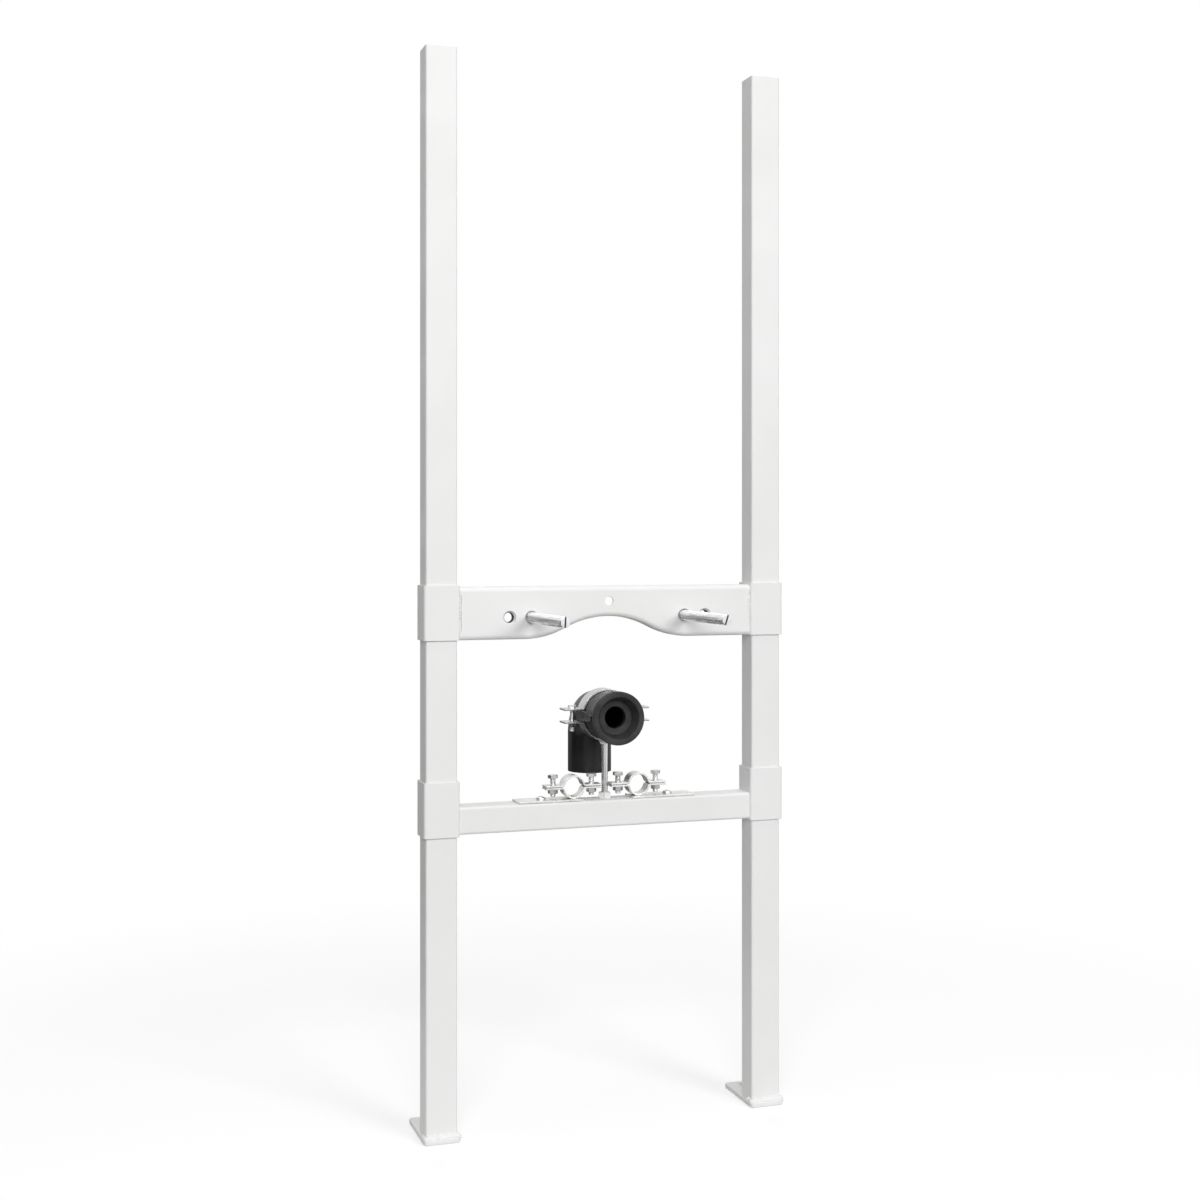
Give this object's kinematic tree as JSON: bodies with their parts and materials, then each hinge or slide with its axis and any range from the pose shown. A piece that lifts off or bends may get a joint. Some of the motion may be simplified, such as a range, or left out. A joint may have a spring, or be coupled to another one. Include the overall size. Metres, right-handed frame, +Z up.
{
  "type": "bidet installation frame",
  "caption": "Steel frame for mounting a wall-hung bidet: tube uprights on foot plates, sliding crossbars with threaded studs, a clamped waste elbow and water pipe clips.",
  "frame": {"origin": "on the floor, midway between the two floor bolt holes", "axes": "+Z up along the uprights, +X to the right seen from the bidet's side, -Y towards the bidet"},
  "size_m": [0.422, 0.218, 1.185],
  "materials": {
    "white_paint": "satin white powder coat",
    "zinc_plate": "bright zinc plate",
    "black_plastic": "moulded, satin",
    "black_rubber": "matt"
  },
  "bodies": {
    "uprights": {"left_upright": "white_paint", "right_upright": "white_paint", "left_foot_plate": "white_paint", "right_foot_plate": "white_paint"},
    "upper_rail": {"upper_left_sleeve": "white_paint", "upper_right_sleeve": "white_paint", "upper_crossbar": "white_paint", "stud_weld_nuts": "white_paint", "outer_weld_nuts": "white_paint", "left_stud": "zinc_plate", "right_stud": "zinc_plate", "upper_lock_nuts": "white_paint", "upper_lock_screws": "zinc_plate"},
    "lower_rail": {"lower_left_sleeve": "white_paint", "lower_right_sleeve": "white_paint", "lower_crossbar": "white_paint", "lower_lock_nuts": "white_paint", "lower_lock_screws": "zinc_plate", "clamp_rod": "zinc_plate", "clamp_rod_nut": "white_paint", "elbow_clamp_upper": "zinc_plate", "elbow_clamp_lower": "zinc_plate", "elbow_clamp_bolts": "zinc_plate", "elbow_clamp_nuts": "zinc_plate", "waste_elbow": "black_plastic", "waste_seal": "black_rubber", "left_clip_plate": "zinc_plate", "left_plate_screw": "zinc_plate", "left_clip_lower": "zinc_plate", "left_clip_upper": "zinc_plate", "left_clip_bolts": "zinc_plate", "left_clip_nuts": "zinc_plate", "right_clip_plate": "zinc_plate", "right_plate_screw": "zinc_plate", "right_clip_lower": "zinc_plate", "right_clip_upper": "zinc_plate", "right_clip_bolts": "zinc_plate", "right_clip_nuts": "zinc_plate"}
  },
  "joints": [
    {"name": "upper_rail_slide", "type": "slide", "parent": "uprights", "child": "upper_rail", "axis": [0, 0, 1], "range_m": [-0.02, 0.57]},
    {"name": "lower_rail_slide", "type": "slide", "parent": "uprights", "child": "lower_rail", "axis": [0, 0, 1], "range_m": [-0.31, 0.03]}
  ]
}
